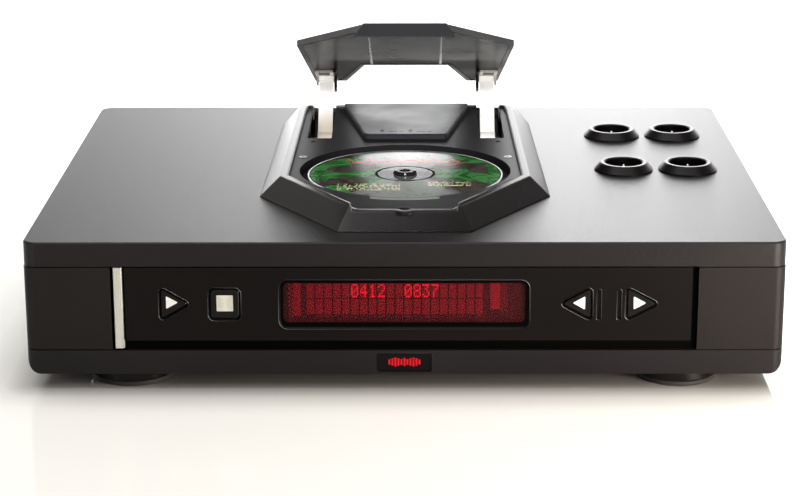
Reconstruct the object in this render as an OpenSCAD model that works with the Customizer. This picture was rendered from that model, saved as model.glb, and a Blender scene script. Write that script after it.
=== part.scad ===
// Top-loading disc player: low wide case, octagonal disc well with a
// swing-back door, four ventilated valves, glass display and push buttons.
// Millimetres. +X to the right, +Y to the rear, +Z up, standing on its feet.

/* [Case] */
// Width of the case
case_w = 433; // [425:1:445]
// Depth of the case
case_d = 345.75; // [340:0.25:355]
// Height from the underside of the base to the top plane
case_h = 78.35; // [76:0.05:84]
// Height of the base tray's wall
base_h = 14.17; // [13:0.01:16]
// Height of the top cover's skirt
cover_h = 14.18; // [12:0.01:16]
// Plan radius of the top cover's corners
cover_r = 8; // [5:0.5:12]
// Wall thickness of the case shells
wall = 3; // [2.5:0.1:4]
// Height of the feet
foot_h = 9; // [7:0.5:12]

/* [Disc well] */
// Height of the well surround above the top plane
rim_h = 12; // [10:0.5:14]
// Height of the well plate above the top plane
plate_h = 10; // [9.5:0.1:10.5]
// Radius of the disc recess
recess_r = 65; // [63:0.5:66]
// Distance of the disc's centre in front of the case's centre
disc_y = -46; // [-48:0.5:-44]
// Height of the disc's top face above the top plane
disc_top = 7.5; // [7:0.1:8]

/* [Door] */
// Angle of the open door, front up
lid_tilt = 18.8; // [15:0.1:22]
// Distance of the arm pivot behind the case's centre
piv_y = 133; // [131:0.5:135]
// Depth of the arm pivot below the top plane
piv_z = 15; // [14:0.5:16]
// Arm pivot to lid pin, centre to centre
arm_r = 50.82; // [50:0.01:52]
// Angle of the arm from the horizontal with the door open
arm_open = 44; // [42:0.5:48]
// Thickness of the arm
arm_t = 4; // [3:0.5:5]

/* [Controls] */
// Gap between a button cap and its hole
cap_gap = 0.4; // [0.3:0.05:0.6]
// Height of the buttons' centre line above the base's underside
btn_z = 41.9; // [40:0.1:44]
// Distance of each button pair's centre from the middle
pair_x = 116.5; // [112:0.5:120]

/* [Valves] */
// Outside radius of a vent ring's foot
ring_r = 18.5; // [16:0.5:20]
// Radius of the vent hole
vent_r = 11.8; // [11.5:0.1:13]
// Height of a vent ring
ring_h = 5.2; // [4:0.1:7]

/* [Hidden] */
$fn = 64;

y_shift = -15.9;
ht = case_h;                    // top plane
hc = case_h - cover_h;          // underside of the top cover
yf = -case_d / 2;               // front face
yr = case_d / 2;                // rear face
gap = 0.75;                     // shadow gap between the shells
win_w = 140.4; win_h = 27; win_z = 41.8;
disc_r = 60;
// door mechanism, in the case frame: A arm pivot, P lid pin
az = ht - piv_z;
open_y = piv_y + arm_r * cos(arm_open);
open_z = az + arm_r * sin(arm_open);
pin_dz = 6.6;                   // lid pin above the top plane, door closed
shut_z = ht + pin_dz;
shut_y = piv_y - sqrt(arm_r * arm_r - (shut_z - az) * (shut_z - az));
ax0 = 51.5; ax1 = 61.5;         // arm's width
slot0 = 48.4; slot1 = 64.2;     // arm slot
lid_lo = ht + 10.3; lid_hi = ht + 14;
valve_at = [[138.3, -6.9], [178.9, -6.9], [138.3, 84.5], [178.9, 84.5]];
foot_at = [[-158.5, -146], [158.5, -146], [-158.5, 146], [158.5, 146]];
post_at = [[-39, -107], [39, -107], [-43, 29], [43, 29]];
standoff_at = [[-30, -130], [195, -130], [-30, 120], [195, 130], [90, 0], [90, -130]];
mz = ht - 4;                    // axis height of the guide rod and the lead screw
sled_y0 = disc_y + 24;          // lens at its innermost radius
sled_travel = 34;

// everything stands on its feet, centred over the origin
module place() translate([0, y_shift, foot_h]) children();
module twice() { children(); mirror([1, 0, 0]) children(); }

// flat rounded rectangle with true arcs
module rr(w, h, r) {
    square([w - 2 * r, h], center = true);
    square([w, h - 2 * r], center = true);
    for (x = [-1, 1], y = [-1, 1]) translate([x * (w / 2 - r), y * (h / 2 - r)]) circle(r);
}
// stands a flat X-Z outline up as a solid from y0 to y1
module wallwise(y0, y1) translate([0, y1, 0]) rotate([90, 0, 0]) linear_extrude(y1 - y0) children();
// rounded rectangle in X-Z by hull, for bevelled cuts
module pill(w, h, r) hull() for (x = [-1, 1], y = [-1, 1])
    translate([x * (w / 2 - r), y * (h / 2 - r)]) circle(r, $fn = 24);
// triangle with round corners, pointing to +X, corner circles' centres given
module tri(w, h, r) hull() {
    translate([-w / 2 + r, h / 2 - r]) circle(r, $fn = 24);
    translate([-w / 2 + r, -h / 2 + r]) circle(r, $fn = 24);
    translate([w / 2 - r, 0]) circle(r, $fn = 24);
}
// bevelled opening: outline grows by b towards the front
module bevel_cut(b, d) {
    wallwise(yf - 0.01, yf + 20) children(0);
    hull() {
        wallwise(yf + d, yf + d + 0.01) children(0);
        wallwise(yf - 0.01, yf) children(1);
    }
}

// ---------------------------------------------------------------- case
module plan(o) rr(case_w - 2 * o, case_d - 2 * o, 6 - o * 0.9);

module base_tray() color([0.15, 0.14, 0.15]) place() {
    difference() {
        intersection() {
            translate([0, yr, 0]) rotate([90, 0, 0]) linear_extrude(case_d) {
                translate([-case_w / 2, 8.5]) square([case_w, base_h - 8.5]);
                translate([-case_w / 2 + 8.5, 0]) square([case_w - 17, base_h]);
                for (s = [-1, 1]) translate([s * (case_w / 2 - 8.5), 8.5]) circle(8.5);
            }
            linear_extrude(base_h) plan(0);
        }
        translate([0, 0, 3]) linear_extrude(base_h) rr(case_w - 2 * 4.5, case_d - 2 * 4, 3);
        // badge recess and the lamp's pocket behind it
        wallwise(yf - 1, yf + 1.9) translate([0, 6.75]) rr(32.2, 11.7, 2);
        wallwise(yf, yf + 3.2) translate([0, 6.5]) square([27, 8.4], center = true);
        // foot screws
        for (p = foot_at) translate([p[0], p[1], -1]) cylinder(r = 2.2, h = 6);
        // air slots under the valves
        for (i = [0 : 7]) translate([120 + i * 10, 12, -1]) cube([4, 60, 6]);
    }
    for (p = standoff_at) translate([p[0], p[1], 3]) difference() {
        cylinder(r = 4, h = 6);
        translate([0, 0, 1]) cylinder(r = 1.3, h = 6);
    }
}

// one L-shaped side: front cheek and side wall, with a tongue that leaves the shadow gaps
module side_plan(o) intersection() {
    difference() { plan(o); rr(case_w - 2 * wall, case_d - 2 * wall, 3); }
    union() {
        translate([-case_w / 2 - 1, -case_d / 2 - 1]) square([wall + 1.0, case_d + 2]);
        translate([-case_w / 2 - 1, -case_d / 2 - 1]) square([case_w / 2 + 1 - 166.9, 8]);
    }
}
module side_panel() {
    translate([0, 0, base_h + gap]) linear_extrude(hc - base_h - 2 * gap) side_plan(0);
    translate([0, 0, base_h]) linear_extrude(hc - base_h) side_plan(1.2);
    // screw lugs
    for (y = [-150, 0, 150]) translate([-case_w / 2 + wall, y - 5, base_h]) difference() {
        cube([9, 10, 4]);
        translate([5, 5, -1]) cylinder(r = 1.6, h = 6);
    }
}
module side_panel_left() color([0.15, 0.13, 0.13]) place() side_panel();
module side_panel_right() color([0.28, 0.25, 0.23]) place() mirror([1, 0, 0]) side_panel();

rear_z = [base_h + gap, hc - gap];
module rear_panel() color([0.12, 0.12, 0.12]) place() difference() {
    union() {
        wallwise(yr - 2.6, yr) translate([-213.2, rear_z[0]]) square([426.4, rear_z[1] - rear_z[0]]);
        wallwise(yr - 2.6, yr - 1.2) translate([-213.2, base_h]) square([426.4, hc - base_h]);
    }
    // line and digital sockets
    for (x = [20, 50, 90]) wallwise(yr - 5, yr + 1) translate([x, 38]) circle(4.9);
    wallwise(yr - 5, yr + 1) translate([115, 38]) square([10.4, 10.4], center = true);
    wallwise(yr - 5, yr + 1) translate([140, 38]) square([12.4, 11.4], center = true);
    for (x = [-60, -25]) wallwise(yr - 5, yr + 1) translate([x, 39]) circle(11.9);
    wallwise(yr - 5, yr + 1) translate([-165, 38]) square([27.4, 19.4], center = true);
    wallwise(yr - 5, yr + 1) translate([-125, 38]) square([19.4, 13.4], center = true);
    for (x = [-200, -100, 0, 180]) wallwise(yr - 5, yr + 1) translate([x, 56]) circle(1.6);
}

// opening in the top plate under the disc well
module well_hole() polygon([[-30, -120], [30, -120], [62, -66], [66, 0], [66, 160],
    [-66, 160], [-66, 0], [-62, -66]]);

module top_cover() color([0.17, 0.17, 0.17]) place() difference() {
    hull() for (x = [-1, 1], y = [-1, 1])
        translate([x * (case_w / 2 - cover_r), y * (case_d / 2 - cover_r), hc]) {
            cylinder(r = cover_r, h = cover_h - 0.8, $fn = 48);
            cylinder(r = cover_r - 0.8, h = cover_h, $fn = 48);
        }
    translate([0, 0, hc - 1]) linear_extrude(cover_h + 1 - wall) rr(case_w - 2 * wall, case_d - 2 * wall, 5);
    translate([0, 0, hc]) linear_extrude(cover_h + 1) well_hole();
    for (v = valve_at) translate([v[0], v[1], hc]) cylinder(r = vent_r + 0.5, h = cover_h + 1);
    // room for the well's two front posts
    for (x = [-39, 39]) translate([x, -107, hc]) cylinder(r = 4.3, h = cover_h + 1);
}

// ---------------------------------------------------------------- front
module play_hole(o = 0) translate([-131.2, 42.1]) tri(15.3 + 2 * o, 17.3 + 2 * o, 1.6 + o);
module stop_hole(o = 0) translate([-102.2, 41.9]) pill(17.1 + 2 * o, 17.9 + 2 * o, 2.6 + o);
module prev_hole(o = 0) translate([98.4, 42.1]) mirror([1, 0]) tri(16 + 2 * o, 17.3 + 2 * o, 1.6 + o);
module next_hole(o = 0) translate([134.7, 42.1]) tri(16.4 + 2 * o, 17.3 + 2 * o, 1.6 + o);
module window_hole(o = 0) translate([0, win_z]) pill(win_w + 2 * o, win_h + 2 * o, 4 + o);

module fascia_panel() color([0.14, 0.13, 0.13]) place() difference() {
    wallwise(yf, yf + 3) translate([2.15, (20.1 + 63.5) / 2]) rr(322.3, 43.4, 0.8);
    bevel_cut(1.2, 1.2) { window_hole(); window_hole(1.2); }
    bevel_cut(0.9, 0.9) { play_hole(); play_hole(0.9); }
    bevel_cut(0.9, 0.9) { stop_hole(); stop_hole(0.9); }
    bevel_cut(0.9, 0.9) { prev_hole(); prev_hole(0.9); }
    bevel_cut(0.9, 0.9) { next_hole(); next_hole(0.9); }
    // the two upright grooves between the skip buttons
    for (x = [110.7, 122.2]) wallwise(yf - 1, yf + 1.2) translate([x, 41.7]) rr(2.7, 18.2, 0.6);
}
module fascia_backer() color([0.05, 0.05, 0.05]) place() difference() {
    wallwise(yf + 3.2, yf + 5.2) translate([-166, base_h + 0.1]) square([332.6, hc - base_h - 0.2]);
    wallwise(yf, yf + 9) translate([0, win_z]) square([138, 26], center = true);
    wallwise(yf, yf + 9) { play_hole(); stop_hole(); prev_hole(); next_hole(); }
    for (x = [-155, 155]) wallwise(yf, yf + 9) translate([x, 26]) circle(1.6);
}
module trim_bar() color([0.8, 0.8, 0.78]) place() translate([0, 0, 15.6]) linear_extrude(48)
    polygon([[-165.2, yf + 3.1], [-165.2, yf - 0.1], [-164.9, yf - 0.4], [-160.9, yf - 0.4],
        [-159.9, yf + 0.6], [-159.9, yf + 3.1]]);
module display_window() color([0.2, 0.02, 0.02, 0.6]) place()
    wallwise(yf + 1.2, yf + 2.9) translate([0, win_z]) rr(win_w - 0.6, win_h - 0.6, 3.7);
module display_module() color([0.5, 0.05, 0.05]) place() {
    wallwise(yf + 3.3, yf + 6) translate([0, win_z]) square([134, 24.4], center = true);
    wallwise(yf + 6, yf + 12) translate([0, win_z]) square([130, 24.4], center = true);
}
module front_board() color([0.1, 0.3, 0.15]) place() {
    difference() {
        wallwise(yf + 14.4, yf + 16) translate([-150, 20]) square([300, 38]);
        for (x = [-145, 145], z = [24, 54]) wallwise(yf, yf + 20) translate([x, z]) circle(1.6);
    }
    for (x = [-131.2, -102.2, 98.4, 134.7]) wallwise(yf + 12.4, yf + 14.4) translate([x, 42]) square([6, 6], center = true);
}
module badge_window() color([0.1, 0.02, 0.02]) place() difference() {
    wallwise(yf + 0.2, yf + 1.7) translate([0, 6.75]) rr(31.8, 11.3, 1.8);
    wallwise(yf - 1, yf + 0.8) translate([0, 6.35]) rr(30, 9.9, 1.3);
}
module badge_light() color([0.8, 0.05, 0.05]) place()
    wallwise(yf + 1.9, yf + 3) translate([0, 6.5]) square([26, 7.6], center = true);

// a cap, its flange behind the backer, and the stem on to its switch; the outlines are
// smaller copies of the hole, so the cap slides with a gap all round
module cap(x) {
    hull() {
        wallwise(yf + 0.35, yf + 6.6) children(0);
        wallwise(yf - 0.05, yf) children(1);
    }
    wallwise(yf + 6.5, yf + 7.4) children(2);
    wallwise(yf + 7.3, yf + 11) translate([x, 42]) circle(1.5);
}
module play_button() color([0.08, 0.08, 0.08]) place() difference() {
    cap(-131.2) { play_hole(-cap_gap); play_hole(-cap_gap - 0.5); play_hole(0.8); }
    wallwise(yf - 1, yf + 0.5) translate([-132.3, 42.95]) tri(6.5, 7.1, 0.4);
}
module stop_button() color([0.08, 0.08, 0.08]) place() difference() {
    cap(-102.2) { stop_hole(-cap_gap); stop_hole(-cap_gap - 0.5); stop_hole(0.8); }
    wallwise(yf - 1, yf + 0.5) translate([-102.1, 42.45]) pill(9.4, 9.5, 0.5);
}
module previous_button() color([0.08, 0.08, 0.08]) place() difference() {
    cap(98.4) { prev_hole(-cap_gap); prev_hole(-cap_gap - 0.5); prev_hole(0.8); }
    wallwise(yf - 1, yf + 0.5) translate([99.4, 42.55]) mirror([1, 0]) tri(6.6, 7.3, 0.4);
}
module next_button() color([0.08, 0.08, 0.08]) place() difference() {
    cap(134.7) { next_hole(-cap_gap); next_hole(-cap_gap - 0.5); next_hole(0.8); }
    wallwise(yf - 1, yf + 0.5) translate([133.6, 42.55]) tri(6.6, 7.3, 0.4);
}
module play_insert() color([0.95, 0.95, 0.95]) place()
    wallwise(yf - 0.15, yf + 0.5) translate([-132.3, 42.95]) tri(6.46, 7.06, 0.4);
module stop_insert() color([0.85, 0.85, 0.85]) place()
    wallwise(yf - 0.15, yf + 0.5) translate([-102.1, 42.45]) pill(9.36, 9.46, 0.5);
module previous_insert() color([0.95, 0.95, 0.95]) place()
    wallwise(yf - 0.15, yf + 0.5) translate([99.4, 42.55]) mirror([1, 0]) tri(6.56, 7.26, 0.4);
module next_insert() color([0.95, 0.95, 0.95]) place()
    wallwise(yf - 0.15, yf + 0.5) translate([133.6, 42.55]) tri(6.56, 7.26, 0.4);

// ---------------------------------------------------------------- disc well
base_oct = [[-38.7, -152], [38.7, -152], [88, -73], [84.3, 120], [77, 168],
    [-77, 168], [-84.3, 120], [-88, -73]];
top_oct = [[-32, -140.5], [32, -140.5], [75.8, -69.5], [72.8, 115], [71.5, 126],
    [-71.5, 126], [-72.8, 115], [-75.8, -69.5]];
// inside edge of the rim; the well plate lies in it
module rim_inside(o) polygon([[-27.3 + 1.2 * o, -137.6 + o], [27.3 - 1.2 * o, -137.6 + o],
    [70.9 - o, -67.2 + 0.4 * o], [68.2 - o, 112], [66.8 - o, 126.5], [-66.8 + o, 126.5],
    [-68.2 + o, 112], [-70.9 + o, -67.2 + 0.4 * o]]);

module door_surround() color([0.16, 0.15, 0.15]) place() difference() {
    union() {
        hull() {
            translate([0, 0, ht + 0.02]) linear_extrude(0.4) polygon(base_oct);
            translate([0, 0, ht + rim_h - 0.05]) linear_extrude(0.05) polygon(top_oct);
        }
        // screw boss in the middle of the front wall
        translate([0, -138, ht + 2]) cylinder(r = 7.2, h = plate_h - 2);
    }
    translate([0, 0, ht - 1]) linear_extrude(rim_h + 2) rim_inside(0);
    // the front of the rim is low where the door's lip comes over it
    translate([-31, -160, ht + plate_h]) cube([62, 30, 5]);
    translate([0, -138, ht + 4]) cylinder(r = 1.6, h = 10);
    translate([0, -138, ht + plate_h - 2]) cylinder(r = 3.1, h = 5);
    // arm slots run out through the rear slope, which is hollow between them
    twice() translate([slot0, 120, ht - 1]) cube([slot1 - slot0, 42, 20]);
    translate([-45, 127, ht - 1]) cube([90, 22, 5]);
}

module slot_cut(h0, h1) twice() hull() {
    translate([slot0 + 1, 38, h0]) cylinder(r = 1, h = h1 - h0, $fn = 24);
    translate([slot1 - 1, 38, h0]) cylinder(r = 1, h = h1 - h0, $fn = 24);
    translate([slot0, 130, h0]) cube([slot1 - slot0, 10, h1 - h0]);
}
module well_plate() color([0.13, 0.13, 0.14]) place() difference() {
    union() {
        translate([0, 0, ht + plate_h - 2.5]) linear_extrude(2.5) rim_inside(0.15);
        translate([0, disc_y, ht + 2]) cylinder(r = recess_r + 2, h = plate_h - 2, $fn = 128);
        for (p = post_at) translate([p[0], p[1], ht - 5]) cylinder(r = 3.5, h = 13);
        // seat of the transport cover
    }
    translate([0, disc_y, ht + 4]) cylinder(r = recess_r, h = 10, $fn = 128);
    // finger notch in front of the disc
    intersection() {
        translate([0, disc_y, ht + 4]) cylinder(r = recess_r + 7, h = 10, $fn = 128);
        translate([-20.5, -118, ht + 4]) cube([41, 30, 10]);
    }
    // hub opening and the laser's window
    translate([0, disc_y, ht]) cylinder(r = 15, h = 10);
    translate([-8, disc_y, ht]) cube([16, 64, 10]);
    slot_cut(ht - 1, ht + 20);
    for (p = [[-64.5, -13.5], [64.5, -13.5], [-60, 28], [60, 28]])
        translate([p[0], p[1], ht]) cylinder(r = 1.6, h = 20);
    for (p = [[-64.5, -13.5], [64.5, -13.5]]) translate([p[0], p[1], ht + plate_h - 1.2]) cylinder(r = 2.7, h = 5);
    translate([0, -138, ht]) cylinder(r = 3.1, h = 20);
}
module cover_plan(o) hull() {
    for (s = [-1, 1]) {
        translate([s * (27.4 - 4), 34.5 + 4]) circle(4 - o, $fn = 32);
        translate([s * (42.5 - 1.5), 126 - 1.5]) circle(1.5 - o, $fn = 24);
    }
}
module transport_cover() color([0.45, 0.45, 0.47]) place() hull() {
    translate([0, 0, ht + plate_h]) linear_extrude(2.6) cover_plan(0);
    translate([0, 0, ht + plate_h + 3.2]) linear_extrude(0.1) cover_plan(0.8);
}
module well_screws() color([0.8, 0.8, 0.8]) place() {
    for (s = [-1, 1]) translate([s * 64.5, -13.5, 0]) screw(ht + plate_h - 1.15, 2.5, 1.5, 1.35, 0.9);
    translate([0, -138, 0]) screw(ht + plate_h - 1.95, 2.9, 1.5, 1.5, 1.2);
}
// head on a shank, head's underside at z, with a cross-shaped drive
module screw(z, hr, sr, hh, depth) difference() {
    union() {
        translate([0, 0, z]) cylinder(r = hr, h = hh);
        translate([0, 0, z - 4]) cylinder(r = sr, h = 4.5);
    }
    translate([-hr * 0.6, -0.35, z + hh - depth * 0.6]) cube([hr * 1.2, 0.7, 3]);
    translate([-0.35, -hr * 0.6, z + hh - depth * 0.6]) cube([0.7, hr * 1.2, 3]);
}

// ---------------------------------------------------------------- door
// the door's parts are drawn shut, then carried to the open pose
module door_open() translate([0, open_y, open_z]) rotate([-lid_tilt, 0, 0])
    translate([0, -shut_y, -shut_z]) children();

module lid_plan(o) polygon([[-25 + o * 0.6, -143 + o], [25 - o * 0.6, -143 + o], [26.6 - o * 0.8, -137.2 + o],
    [69.4 - o * 1.05, -67.2], [65.8 - o, 122 - o], [43.4 + o, 122 - o], [28.4 + o * 0.7, 31.5 - o],
    [-28.4 - o * 0.7, 31.5 - o], [-43.4 - o, 122 - o], [-65.8 + o, 122 - o], [-69.4 + o * 1.05, -67.2],
    [-26.6 + o * 0.8, -137.2 + o]]);
module lid_shell() color([0.12, 0.12, 0.12]) place() door_open() difference() {
    union() {
        translate([0, 0, lid_lo]) linear_extrude(lid_hi - lid_lo) lid_plan(0);
        // sloping front lip
        hull() {
            translate([0, 0, lid_hi - 0.05]) linear_extrude(0.05) polygon([[-25, -143], [25, -143], [25, -138.5], [-25, -138.5]]);
            translate([0, 0, lid_lo - 0.4]) linear_extrude(0.05) polygon([[-27.5, -147.1], [27.5, -147.1], [27.5, -143.1], [-27.5, -143.1]]);
        }
        hull() {
            translate([0, 0, lid_lo - 0.4]) linear_extrude(0.05) polygon([[-27.5, -147.1], [27.5, -147.1], [27.5, -143.1], [-27.5, -143.1]]);
            translate([0, 0, ht + 4.7]) linear_extrude(0.05) polygon([[-30.4, -152.3], [30.4, -152.3], [30.4, -148.9], [-30.4, -148.9]]);
        }
    }
    // underside recess for the liner, inside a border
    translate([0, 0, lid_lo - 0.01]) linear_extrude(1.91) lid_plan(3);
    // relief over the screw boss
    translate([0, -138, ht + 3]) cylinder(r = 7.7, h = plate_h - 2.6);
}
module lid_liner() color([0.05, 0.05, 0.05]) place() door_open() difference() {
    translate([0, 0, lid_lo + 0.25]) linear_extrude(1.6) lid_plan(3.2);
}
module lid_brackets() color([0.85, 0.85, 0.85]) place() door_open() twice() difference() {
    union() {
        // foot plate under the border, its pad on the liner
        translate([49.0, 62, lid_lo - 1.25]) cube([14.6, 48, 1.25]);
        translate([49.0, 62, lid_lo - 0.1]) cube([13.2, 48, 0.35]);
        // ears
        for (e = [[49.0, 2.0], [62.0, 1.6]]) {
            translate([e[0], shut_y, shut_z]) rotate([0, 90, 0]) cylinder(r = 3.6, h = e[1]);
            translate([e[0], shut_y - 3.6, shut_z]) cube([e[1], 7.2, lid_lo - 1 - shut_z]);
        }
        // stop tail on the inner ear
        translate([49.0, shut_y - 2.4, shut_z - 8.2]) cube([2.0, 4.8, 8.2]);
    }
    // the arm's head turns in this window
    translate([51.0, shut_y - 9, lid_lo - 2]) cube([11.0, 18, 2.24]);
    translate([40, shut_y, shut_z]) rotate([0, 90, 0]) cylinder(r = 1.27, h = 30);
    for (y = [68, 104]) translate([56.3, y, lid_lo - 3]) cylinder(r = 1.2, h = 4);
}
module lid_pins() color([0.7, 0.7, 0.7]) place() door_open() twice()
    translate([48.9, shut_y, shut_z]) rotate([0, 90, 0]) cylinder(r = 1.25, h = 14.8);

module arm_x(x0) translate([x0, 0, 0]) difference() {
    union() {
        // flat bar from the pivot to the pin
        translate([0, piv_y, az]) rotate([arm_open, 0, 0]) translate([0, 0, -arm_t / 2]) cube([10, arm_r, arm_t]);
        translate([0, piv_y, az]) rotate([0, 90, 0]) cylinder(r = 6, h = 10);
        translate([0, open_y, open_z]) rotate([0, 90, 0]) cylinder(r = 2.9, h = 10);
    }
    translate([-1, piv_y, az]) rotate([0, 90, 0]) cylinder(r = 2.52, h = 12);
    translate([-1, open_y, open_z]) rotate([0, 90, 0]) cylinder(r = 1.3, h = 12);
}
module door_arm_left() color([0.9, 0.9, 0.88]) place() mirror([1, 0, 0]) arm_x(ax0);
module door_arm_right() color([0.9, 0.9, 0.88]) place() arm_x(ax0);
module hinge_shaft() color([0.7, 0.7, 0.7]) place()
    translate([-71, piv_y, az]) rotate([0, 90, 0]) cylinder(r = 2.5, h = 142);
module hinge_blocks() color([0.2, 0.2, 0.2]) place() twice() difference() {
    union() {
        translate([66.6, piv_y - 9, az - 7]) cube([6, 18, 7 + piv_z - wall]);
        translate([66.6, piv_y - 20, ht - wall - 3]) cube([8, 40, 3]);
    }
    translate([60, piv_y, az]) rotate([0, 90, 0]) cylinder(r = 2.56, h = 20);
    for (s = [-1, 1]) translate([70.6, piv_y + s * 15, ht - 10]) cylinder(r = 1.5, h = 10);
}

// ---------------------------------------------------------------- transport
module disc() color([0.45, 0.6, 0.5]) place() translate([0, disc_y, ht + disc_top - 1.2]) difference() {
    cylinder(r = disc_r, h = 1.2, $fn = 128);
    translate([0, 0, -1]) cylinder(r = 7.5, h = 4);
}
module spindle_hub() color([0.08, 0.08, 0.08]) place() translate([0, disc_y, ht]) difference() {
    union() {
        translate([0, 0, disc_top - 1.22 - 1.6]) cylinder(r = 13.5, h = 1.6);
        translate([0, 0, disc_top - 1.3 - 1.6]) cylinder(r = 7.2, h = 4.0);
        translate([0, 0, 1.5]) cylinder(r = 5, h = 5);
        // tapered nose
        translate([0, 0, disc_top - 1.3 - 1.6 + 4.0]) cylinder(r1 = 7.2, r2 = 5.6, h = 0.9);
    }
    translate([0, 0, 0]) cylinder(r = 1.02, h = 8);
    translate([0, 0, 8.6]) cylinder(r = 3.4, h = 3);
    for (a = [0, 120, 240]) rotate(a + 30) translate([4.8, 0, 8.0]) rotate([0, 90, 0]) cylinder(r = 1.25, h = 4);
}
module hub_balls() color([0.9, 0.9, 0.9]) place() translate([0, disc_y, ht])
    for (a = [0, 120, 240]) rotate(a + 30) translate([6.05, 0, 8.0]) sphere(r = 1.2, $fn = 32);
module spindle_shaft() color([0.8, 0.8, 0.8]) place() translate([0, disc_y, ht - 20]) cylinder(r = 1, h = 27.8);
module spindle_motor() color([0.6, 0.6, 0.62]) place() translate([0, disc_y, ht]) difference() {
    union() {
        translate([0, 0, -24]) cylinder(r = 12, h = 22);
        translate([0, 0, -2.01]) cylinder(r = 4, h = 2.5);
        // flange that hangs on the chassis plate
        translate([0, 0, -10.5]) cylinder(r = 15, h = 1.4);
    }
    translate([0, 0, -20.2]) cylinder(r = 1.06, h = 40);
    for (a = [45, 135, 225, 315]) rotate(a) translate([13.4, 0, -12]) cylinder(r = 0.8, h = 5);
}
module mech_chassis() color([0.25, 0.25, 0.27]) place() difference() {
    union() {
        translate([-48, -113, ht - 12]) cube([96, 152, 1.5]);
        // end brackets for the rod and the screw
        for (y = [-38, 35]) translate([13, y, ht - 10.5]) cube([14, 3, 11.5]);
        for (y = [-38, 35]) translate([-27, y, ht - 10.5]) cube([14, 3, 11.5]);
    }
    translate([0, disc_y, ht - 20]) cylinder(r = 12.3, h = 12);
    for (p = post_at) translate([p[0], p[1], ht - 20]) cylinder(r = 2.2, h = 12);
    // lightening windows
    translate([-40, -98, ht - 20]) cube([80, 30, 12]);
    translate([-12, -26, ht - 20]) cube([24, 56, 12]);
    translate([20, -60, mz]) rotate([-90, 0, 0]) cylinder(r = 1.52, h = 97.5);
    translate([-20, -60, mz]) rotate([-90, 0, 0]) cylinder(r = 2.05, h = 97.5);
}
module mech_grommets() color([0.06, 0.06, 0.06]) place() for (p = post_at) translate([p[0], p[1], ht - 10.5])
    difference() {
        union() { cylinder(r = 6, h = 5.5); translate([0, 0, -1.5]) cylinder(r = 2.1, h = 2); }
        translate([0, 0, -2]) cylinder(r = 1.2, h = 10);
    }
module laser_sled() color([0.2, 0.2, 0.22]) place() difference() {
    union() {
        translate([-11, sled_y0 - 6, ht - 8]) cube([22, 25, 9]);
        // lug on the guide rod
        translate([10, sled_y0 - 3, mz - 3.6]) cube([13.8, 16, 7.2]);
        // half nut on the lead screw
        translate([-24, sled_y0 + 2, mz - 3.6]) cube([14, 8, 7.2]);
    }
    translate([20, sled_y0 - 20, mz]) rotate([-90, 0, 0]) cylinder(r = 1.56, h = 60);
    translate([-20, sled_y0 - 20, mz]) rotate([-90, 0, 0]) cylinder(r = 2.3, h = 60);
    translate([0, sled_y0, ht - 1]) cylinder(r = 4.2, h = 4);
}
module objective_lens() color([0.4, 0.5, 0.7]) place() translate([0, sled_y0, ht]) {
    translate([0, 0, -1]) cylinder(r = 3.8, h = 2.4);
    translate([0, 0, 1.3]) cylinder(r = 2.6, h = 2.2);
}
module guide_rod() color([0.8, 0.8, 0.8]) place()
    translate([20, -37.9, mz]) rotate([-90, 0, 0]) cylinder(r = 1.5, h = 75.2);
module lead_screw() color([0.75, 0.7, 0.6]) place() translate([-20, 0, mz]) rotate([-90, 0, 0]) {
    // rod between the brackets with a turned groove every pitch
    translate([0, 0, -40.5]) cylinder(r = 1.6, h = 77.8);
    for (i = [0 : 22]) translate([0, 0, -34 + i * 3]) cylinder(r = 2, h = 2);
}
module sled_motor() color([0.6, 0.6, 0.62]) place() translate([-20, 0, mz]) rotate([-90, 0, 0]) difference() {
    translate([0, 0, -60]) cylinder(r = 5.4, h = 21.8);
    translate([0, 0, -41]) cylinder(r = 1.66, h = 10);
}

// ---------------------------------------------------------------- valves and electronics
module vent_rings() color([0.2, 0.2, 0.2]) place() for (v = valve_at) translate([v[0], v[1], ht])
    rotate_extrude($fn = 128) polygon([[vent_r, 0.02], [ring_r, 0.02], [ring_r, 0.8], [ring_r - 3.6, ring_h - 0.3],
        [ring_r - 4.2, ring_h], [vent_r + 0.9, ring_h], [vent_r, ring_h - 0.6]]);
module valves() color([0.8, 0.85, 0.85, 0.4]) place() for (v = valve_at) translate([v[0], v[1], 0]) {
    translate([0, 0, 24.2]) cylinder(r = 10.4, h = 40);
    translate([0, 0, 64.2]) scale([1, 1, 1]) intersection() {
        sphere(r = 10.4);
        translate([0, 0, 10]) cube([30, 30, 20], center = true);
    }
    translate([0, 0, 73.6]) cylinder(r1 = 2.2, r2 = 0.6, h = 3);
    for (a = [0 : 40 : 320]) rotate(a) translate([5.95, 0, 18]) cylinder(r = 0.5, h = 6.3);
}
module valve_sockets() color([0.85, 0.82, 0.75]) place() for (v = valve_at) translate([v[0], v[1], 10.6]) difference() {
    union() { cylinder(r = 11, h = 9); translate([0, 0, 9]) cylinder(r = 9, h = 4.4); }
    translate([0, 0, 3]) for (a = [0 : 40 : 320]) rotate(a) translate([5.95, 0, 0]) cylinder(r = 0.65, h = 20);
    translate([0, 0, -1]) cylinder(r = 2.5, h = 20);
}
module main_board() color([0.1, 0.32, 0.16]) place() difference() {
    translate([-40, -140, 9]) cube([245, 300, 1.6]);
    for (p = standoff_at) translate([p[0], p[1], 0]) cylinder(r = 1.6, h = 20);
}
cap_at = [[70, 110], [92, 110], [70, 132], [92, 132], [20, -90], [42, -90], [150, -80], [172, -80]];
module capacitors() color([0.1, 0.15, 0.35]) place() for (p = cap_at) translate([p[0], p[1], 10.6]) {
    cylinder(r = 9, h = 30);
    translate([0, 0, 29.9]) cylinder(r = 8.2, h = 0.6);
}
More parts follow.
